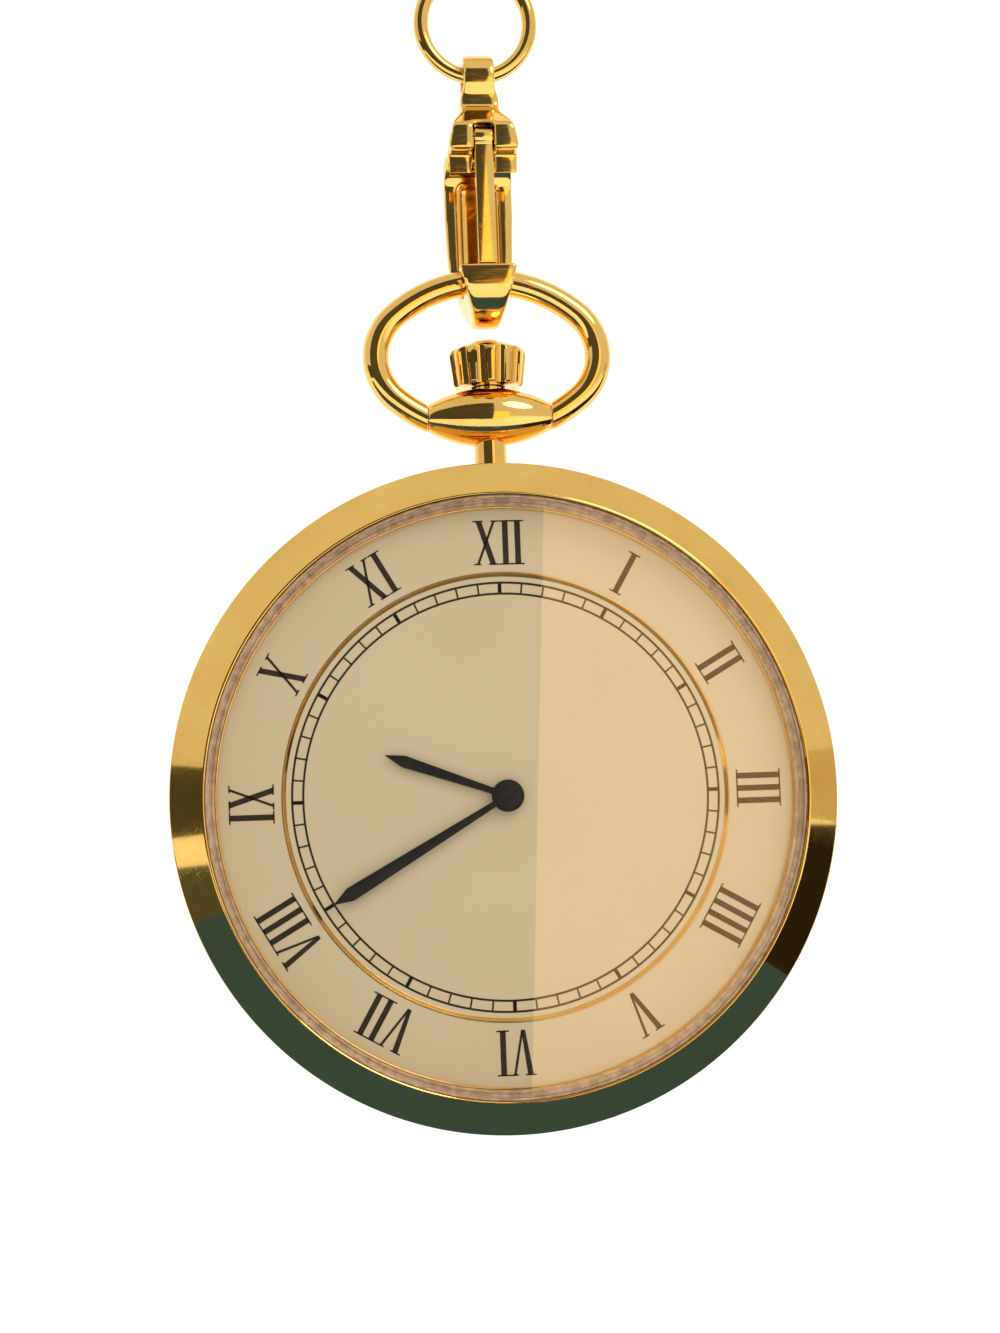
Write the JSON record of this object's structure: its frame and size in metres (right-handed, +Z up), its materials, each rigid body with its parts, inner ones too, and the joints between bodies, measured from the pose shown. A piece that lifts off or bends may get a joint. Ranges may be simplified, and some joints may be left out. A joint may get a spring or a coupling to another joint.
{
  "type": "fob watch",
  "caption": "Round open-faced fob watch with a hand-wound movement, hanging by its oval bow from a snap hook and a small chain ring.",
  "frame": {"origin": "centre of the chain ring that the watch hangs from", "axes": "+Z up, from 6 o'clock through 12 to the ring; -Y out of the glass, +Y out of the back; +X towards 3 o'clock"},
  "size_m": [0.05, 0.0084, 0.0895],
  "materials": {
    "gold_plate": "polished gold plate",
    "deep_gold": "polished gilt",
    "steel": "polished steel",
    "nickel_plate": "nickel plate, fine grain",
    "brass": "satin brass",
    "blued_steel": "heat-blued steel",
    "ruby": "polished ruby",
    "dial_cream": "satin cream lacquer",
    "hand_black": "gloss black lacquer",
    "glass": "clear flat glass",
    "gasket_amber": "translucent nylon",
    "seal_rubber": "black rubber"
  },
  "bodies": {
    "ring": {"chain_ring": "gold_plate"},
    "hook": {"hook_body": "gold_plate", "hook_pin": "deep_gold", "hook_spring": "steel"},
    "gate": {"hook_gate": "gold_plate"},
    "bow": {"bow": "gold_plate"},
    "case": {"pendant": "gold_plate", "stem_tube": "gold_plate", "case_middle": "gold_plate", "bezel": "gold_plate", "crystal_gasket": "gasket_amber", "crystal": "glass", "movement_ring": "brass", "case_screws": "blued_steel", "dial": "dial_cream", "dial_step_ring": "deep_gold", "main_plate": "nickel_plate", "barrel_bridge": "nickel_plate", "train_bridge": "nickel_plate", "pallet_cock": "nickel_plate", "balance_cock": "nickel_plate", "bridge_screws": "blued_steel", "jewels": "ruby", "crown_wheel_screw": "blued_steel", "click_spring": "blued_steel", "hairspring": "blued_steel", "yoke": "steel"},
    "back": {"case_back": "gold_plate", "back_gasket": "seal_rubber"},
    "crown_seal": {"crown_gasket": "seal_rubber"},
    "crown": {"crown": "gold_plate", "winding_stem": "steel"},
    "winding_pinion": {"winding_pinion": "steel"},
    "clutch": {"sliding_clutch": "steel"},
    "crown_wheel": {"crown_wheel": "steel"},
    "ratchet": {"barrel_arbor": "steel", "ratchet_wheel": "steel", "ratchet_screw": "blued_steel"},
    "click": {"click": "steel"},
    "setting_lever": {"setting_lever": "steel"},
    "minute_arbor": {"centre_wheel": "brass", "cannon_pinion": "steel", "minute_hand": "hand_black"},
    "barrel": {"barrel": "brass", "barrel_cover": "brass", "mainspring": "steel"},
    "third_wheel": {"third_wheel": "brass"},
    "fourth_wheel": {"fourth_wheel": "brass"},
    "escape_wheel": {"escape_wheel": "steel"},
    "minute_wheel": {"minute_wheel": "brass"},
    "hour_arbor": {"hour_wheel": "brass", "hour_hand": "hand_black"},
    "setting_wheel": {"setting_wheel": "steel"},
    "pallet_fork": {"pallet_fork": "steel", "pallet_stones": "ruby"},
    "balance": {"balance_wheel": "brass"}
  },
  "joints": [
    {"name": "hook_swing", "type": "hinge", "parent": "ring", "child": "hook", "pos_m": [0, 0, -0.0042], "axis": [1, 0, 0], "range_deg": [-40, 40]},
    {"name": "gate_open", "type": "hinge", "parent": "hook", "child": "gate", "pos_m": [0, -0.00276, -0.00968], "axis": [1, 0, 0], "range_deg": [0, 18], "stiffness_Nm_per_rad": 0.0001, "springref_deg": -17.19, "deforming": ["hook_spring"]},
    {"name": "bow_in_hook", "type": "hinge", "parent": "hook", "child": "bow", "pos_m": [0, 0, -0.02022], "axis": [1, 0, 0], "range_deg": [-35, 35]},
    {"name": "case_swing", "type": "hinge", "parent": "bow", "child": "case", "pos_m": [0, 0, -0.03073], "axis": [1, 0, 0], "range_deg": [-60, 60]},
    {"name": "back_off", "type": "slide", "parent": "case", "child": "back", "axis": [0, 1, 0], "range_m": [0, 0.012]},
    {"name": "crown_pull", "type": "slide", "parent": "case", "child": "crown_seal", "axis": [0, 0, 1], "range_m": [0, 0.0008]},
    {"name": "crown_turn", "type": "hinge", "parent": "crown_seal", "child": "crown", "pos_m": [0, 0, -0.03073], "axis": [0, 0, 1], "continuous": true},
    {"name": "winding_pinion_turn", "type": "hinge", "parent": "case", "child": "winding_pinion", "pos_m": [0, 0, -0.04633], "axis": [0, 0, 1], "continuous": true},
    {"name": "clutch_turn", "type": "hinge", "parent": "case", "child": "clutch", "pos_m": [0, 0, -0.04633], "axis": [0, 0, 1], "continuous": true},
    {"name": "crown_wheel_turn", "type": "hinge", "parent": "case", "child": "crown_wheel", "pos_m": [0, 0, -0.04973], "axis": [0, 1, 0], "continuous": true},
    {"name": "ratchet_turn", "type": "hinge", "parent": "case", "child": "ratchet", "pos_m": [0.00789, 0, -0.05681], "axis": [0, 1, 0], "continuous": true, "deforming": ["mainspring"]},
    {"name": "click_lift", "type": "hinge", "parent": "case", "child": "click", "pos_m": [-0.0012, 0, -0.05408], "axis": [0, 1, 0], "range_deg": [0, 10], "stiffness_Nm_per_rad": 0.000001, "springref_deg": -11.46, "deforming": ["click_spring"]},
    {"name": "setting_lever_turn", "type": "hinge", "parent": "case", "child": "setting_lever", "pos_m": [-0.0022, 0, -0.04433], "axis": [0, 1, 0], "range_deg": [-22, 0]},
    {"name": "minute_hand_turn", "type": "hinge", "parent": "case", "child": "minute_arbor", "pos_m": [0, 0, -0.05968], "axis": [0, 1, 0], "continuous": true},
    {"name": "barrel_turn", "type": "hinge", "parent": "case", "child": "barrel", "pos_m": [0.00789, 0, -0.05681], "axis": [0, 1, 0], "continuous": true},
    {"name": "third_wheel_turn", "type": "hinge", "parent": "case", "child": "third_wheel", "pos_m": [-0.00592, 0, -0.06183], "axis": [0, 1, 0], "continuous": true},
    {"name": "fourth_wheel_turn", "type": "hinge", "parent": "case", "child": "fourth_wheel", "pos_m": [-0.00503, 0, -0.06686], "axis": [0, 1, 0], "continuous": true},
    {"name": "escape_wheel_turn", "type": "hinge", "parent": "case", "child": "escape_wheel", "pos_m": [-0.0007, 0, -0.06762], "axis": [0, 1, 0], "continuous": true},
    {"name": "minute_wheel_turn", "type": "hinge", "parent": "case", "child": "minute_wheel", "pos_m": [0, 0, -0.05648], "axis": [0, 1, 0], "continuous": true},
    {"name": "hour_hand_turn", "type": "hinge", "parent": "case", "child": "hour_arbor", "pos_m": [0, 0, -0.05968], "axis": [0, 1, 0], "continuous": true},
    {"name": "setting_wheel_turn", "type": "hinge", "parent": "case", "child": "setting_wheel", "pos_m": [0, 0, -0.05216], "axis": [0, 1, 0], "continuous": true},
    {"name": "pallet_swing", "type": "hinge", "parent": "case", "child": "pallet_fork", "pos_m": [0.0022, 0, -0.0684], "axis": [0, 1, 0], "range_deg": [-5, 5]},
    {"name": "balance_swing", "type": "hinge", "parent": "case", "child": "balance", "pos_m": [0.00579, 0, -0.06929], "axis": [0, 1, 0], "range_deg": [-270, 270], "stiffness_Nm_per_rad": 0.0000003, "deforming": ["hairspring"]}
  ],
  "couplings": [
    {"joint": "barrel_turn", "follows": "minute_hand_turn", "ratio": -0.16667},
    {"joint": "third_wheel_turn", "follows": "minute_hand_turn", "ratio": -8},
    {"joint": "fourth_wheel_turn", "follows": "minute_hand_turn", "ratio": 60},
    {"joint": "escape_wheel_turn", "follows": "minute_hand_turn", "ratio": -600},
    {"joint": "minute_wheel_turn", "follows": "minute_hand_turn", "ratio": -0.33333},
    {"joint": "hour_hand_turn", "follows": "minute_hand_turn", "ratio": 0.083333},
    {"joint": "setting_wheel_turn", "follows": "minute_hand_turn", "ratio": 0.41667},
    {"joint": "winding_pinion_turn", "follows": "crown_turn", "ratio": 1},
    {"joint": "clutch_turn", "follows": "crown_turn", "ratio": 1},
    {"joint": "crown_wheel_turn", "follows": "crown_turn", "ratio": -0.5},
    {"joint": "ratchet_turn", "follows": "crown_turn", "ratio": 0.25714},
    {"joint": "setting_lever_turn", "follows": "crown_pull", "rad_per_m": -454.55}
  ]
}
